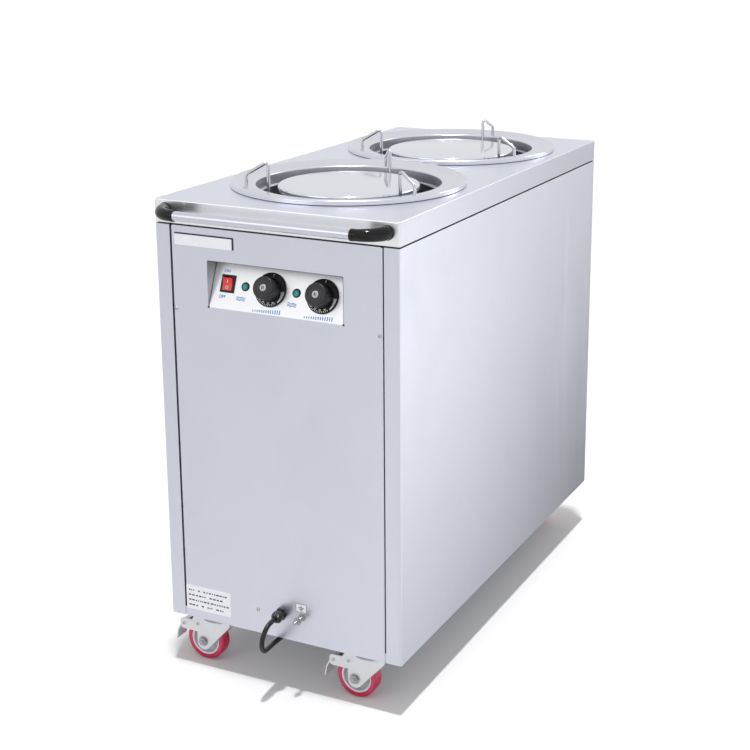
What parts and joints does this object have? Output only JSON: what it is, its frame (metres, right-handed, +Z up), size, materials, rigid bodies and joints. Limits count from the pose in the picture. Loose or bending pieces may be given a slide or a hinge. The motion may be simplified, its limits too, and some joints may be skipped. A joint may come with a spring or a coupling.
{
  "type": "plate warmer cart",
  "caption": "Heated plate dispenser cabinet on braked casters: spring-lifted platforms in sheet-steel wells, bent guide rods, control recess and push handle.",
  "frame": {"origin": "on the floor under the middle of the cart, the handle's reach counted in the depth", "axes": "+Z up; the control side faces -Y; +X is to the right of a person who faces the controls"},
  "size_m": [0.468, 0.9715, 0.8875],
  "materials": {
    "satin_sheet": "fine brushed stainless sheet",
    "bright_ring": "bright satin stainless",
    "well_sheet": "grey mill-finish sheet",
    "polished_disc": "polished",
    "carrier_steel": "satin",
    "spring_steel": "bright drawn wire",
    "element_sheath": "heat-darkened tube",
    "bright_rod": "bright drawn rod",
    "handle_steel": "satin tube",
    "black_gloss": "glossy black moulding",
    "switch_black": "glossy",
    "switch_red": "translucent red, glossy",
    "lamp_green": "glossy lens in a bezel",
    "thermostat_metal": "bright",
    "caster_zinc": "bright zinc plate",
    "hub_grey": "moulded",
    "tread_red": "smooth polyurethane",
    "cord_black": "matte",
    "stud_brass": "nickel and brass fasteners",
    "block_white": "moulded",
    "fastener_steel": "zinc-plated screws and bolts"
  },
  "bodies": {
    "cabinet": {"table_top": "satin_sheet", "side_panel_right": "satin_sheet", "side_panel_left": "satin_sheet", "front_panel": "satin_sheet", "back_panel": "satin_sheet", "base_pan": "satin_sheet", "control_plate": "satin_sheet", "well_ring_front": "bright_ring", "well_ring_rear": "bright_ring", "well_barrel_front": "well_sheet", "well_barrel_rear": "well_sheet", "lift_spring_front": "spring_steel", "lift_spring_rear": "spring_steel", "heating_element_front": "element_sheath", "heating_element_rear": "element_sheath", "handle_bar": "handle_steel", "handle_bracket_right": "black_gloss", "handle_bracket_left": "black_gloss", "switch_housing": "switch_black", "signal_lamp_left": "lamp_green", "signal_lamp_right": "lamp_green", "thermostat_left": "thermostat_metal", "thermostat_right": "thermostat_metal", "caster_plate_front_left": "caster_zinc", "caster_plate_front_right": "caster_zinc", "caster_plate_rear_left": "caster_zinc", "caster_plate_rear_right": "caster_zinc", "cable_gland": "cord_black", "supply_cord": "cord_black", "cord_coil": "cord_black", "plug": "cord_black", "earth_stud": "stud_brass", "terminal_block": "block_white", "fixing_screws": "fastener_steel", "caster_bolts": "fastener_steel"},
    "rocker": {"switch_rocker": "switch_red"},
    "knob_left": {"heat_knob_left": "black_gloss"},
    "knob_right": {"heat_knob_right": "black_gloss"},
    "lift_front": {"platform_front": "polished_disc", "platform_carrier_front": "carrier_steel"},
    "rod_front_left": {"guide_rod_front_left": "bright_rod"},
    "rod_front_right": {"guide_rod_front_right": "bright_rod"},
    "rod_front_back": {"guide_rod_front_back": "bright_rod"},
    "lift_rear": {"platform_rear": "polished_disc", "platform_carrier_rear": "carrier_steel"},
    "rod_rear_left": {"guide_rod_rear_left": "bright_rod"},
    "rod_rear_right": {"guide_rod_rear_right": "bright_rod"},
    "rod_rear_back": {"guide_rod_rear_back": "bright_rod"},
    "swivel_front_left": {"caster_fork_front_left": "caster_zinc"},
    "wheel_front_left": {"wheel_hub_front_left": "hub_grey", "wheel_tread_front_left": "tread_red"},
    "pedal_front_left": {"brake_pedal_front_left": "caster_zinc"},
    "swivel_front_right": {"caster_fork_front_right": "caster_zinc"},
    "wheel_front_right": {"wheel_hub_front_right": "hub_grey", "wheel_tread_front_right": "tread_red"},
    "pedal_front_right": {"brake_pedal_front_right": "caster_zinc"},
    "swivel_rear_left": {"caster_fork_rear_left": "caster_zinc"},
    "wheel_rear_left": {"wheel_rear_left": "tread_red"},
    "swivel_rear_right": {"caster_fork_rear_right": "caster_zinc"},
    "wheel_rear_right": {"wheel_rear_right": "tread_red"}
  },
  "joints": [
    {"name": "rocker_tilt", "type": "hinge", "parent": "cabinet", "child": "rocker", "pos_m": [-0.0974, -0.41165, 0.70865], "axis": [1, 0, 0], "range_deg": [-16, 0]},
    {"name": "knob_left_turn", "type": "hinge", "parent": "cabinet", "child": "knob_left", "pos_m": [-0.0149, -0.4177, 0.71102], "axis": [0, -0.9309, 0.3653], "range_deg": [-270, 0]},
    {"name": "knob_right_turn", "type": "hinge", "parent": "cabinet", "child": "knob_right", "pos_m": [0.082, -0.4177, 0.71102], "axis": [0, -0.9309, 0.3653], "range_deg": [-270, 0]},
    {"name": "lift_front_slide", "type": "slide", "parent": "cabinet", "child": "lift_front", "axis": [0, 0, 1], "range_m": [-0.4, 0], "stiffness_N_per_m": 900, "springref_m": 0.05, "deforming": ["lift_spring_front"]},
    {"name": "rod_front_left_swing", "type": "hinge", "parent": "cabinet", "child": "rod_front_left", "pos_m": [-0.11468, -0.2518, 0.5], "axis": [0, 0, 1], "range_deg": [-45, 45]},
    {"name": "rod_front_right_swing", "type": "hinge", "parent": "cabinet", "child": "rod_front_right", "pos_m": [0.1279, -0.22844, 0.5], "axis": [0, 0, 1], "range_deg": [-45, 45]},
    {"name": "rod_front_back_swing", "type": "hinge", "parent": "cabinet", "child": "rod_front_back", "pos_m": [0.00977, -0.03184, 0.5], "axis": [0, 0, 1], "range_deg": [-87, 3]},
    {"name": "lift_rear_slide", "type": "slide", "parent": "cabinet", "child": "lift_rear", "axis": [0, 0, 1], "range_m": [-0.4, 0], "stiffness_N_per_m": 900, "springref_m": 0.05, "deforming": ["lift_spring_rear"]},
    {"name": "rod_rear_left_swing", "type": "hinge", "parent": "cabinet", "child": "rod_rear_left", "pos_m": [-0.11468, 0.1762, 0.5], "axis": [0, 0, 1], "range_deg": [-45, 45]},
    {"name": "rod_rear_right_swing", "type": "hinge", "parent": "cabinet", "child": "rod_rear_right", "pos_m": [0.1279, 0.19956, 0.5], "axis": [0, 0, 1], "range_deg": [-53, 37]},
    {"name": "rod_rear_back_swing", "type": "hinge", "parent": "cabinet", "child": "rod_rear_back", "pos_m": [0.00977, 0.39616, 0.5], "axis": [0, 0, 1], "range_deg": [-39, 51]},
    {"name": "swivel_front_left_turn", "type": "hinge", "parent": "cabinet", "child": "swivel_front_left", "pos_m": [-0.1535, -0.3895, 0.085], "axis": [0, 0, 1], "continuous": true},
    {"name": "wheel_front_left_roll", "type": "hinge", "parent": "swivel_front_left", "child": "wheel_front_left", "pos_m": [-0.1795, -0.3895, 0.0375], "axis": [0, 1, 0], "continuous": true},
    {"name": "pedal_front_left_press", "type": "hinge", "parent": "swivel_front_left", "child": "pedal_front_left", "pos_m": [-0.221, -0.3895, 0.0635], "axis": [0, 1, 0], "range_deg": [0, 40]},
    {"name": "swivel_front_right_turn", "type": "hinge", "parent": "cabinet", "child": "swivel_front_right", "pos_m": [0.1535, -0.3895, 0.085], "axis": [0, 0, 1], "continuous": true},
    {"name": "wheel_front_right_roll", "type": "hinge", "parent": "swivel_front_right", "child": "wheel_front_right", "pos_m": [0.1275, -0.3895, 0.0375], "axis": [0, 1, 0], "continuous": true},
    {"name": "pedal_front_right_press", "type": "hinge", "parent": "swivel_front_right", "child": "pedal_front_right", "pos_m": [0.086, -0.3895, 0.0635], "axis": [0, 1, 0], "range_deg": [0, 40]},
    {"name": "swivel_rear_left_turn", "type": "hinge", "parent": "cabinet", "child": "swivel_rear_left", "pos_m": [-0.1535, 0.4355, 0.085], "axis": [0, 0, 1], "continuous": true},
    {"name": "wheel_rear_left_roll", "type": "hinge", "parent": "swivel_rear_left", "child": "wheel_rear_left", "pos_m": [-0.1795, 0.4355, 0.0375], "axis": [0, 1, 0], "continuous": true},
    {"name": "swivel_rear_right_turn", "type": "hinge", "parent": "cabinet", "child": "swivel_rear_right", "pos_m": [0.1535, 0.4355, 0.085], "axis": [0, 0, 1], "continuous": true},
    {"name": "wheel_rear_right_roll", "type": "hinge", "parent": "swivel_rear_right", "child": "wheel_rear_right", "pos_m": [0.1275, 0.4355, 0.0375], "axis": [0, 1, 0], "continuous": true}
  ]
}
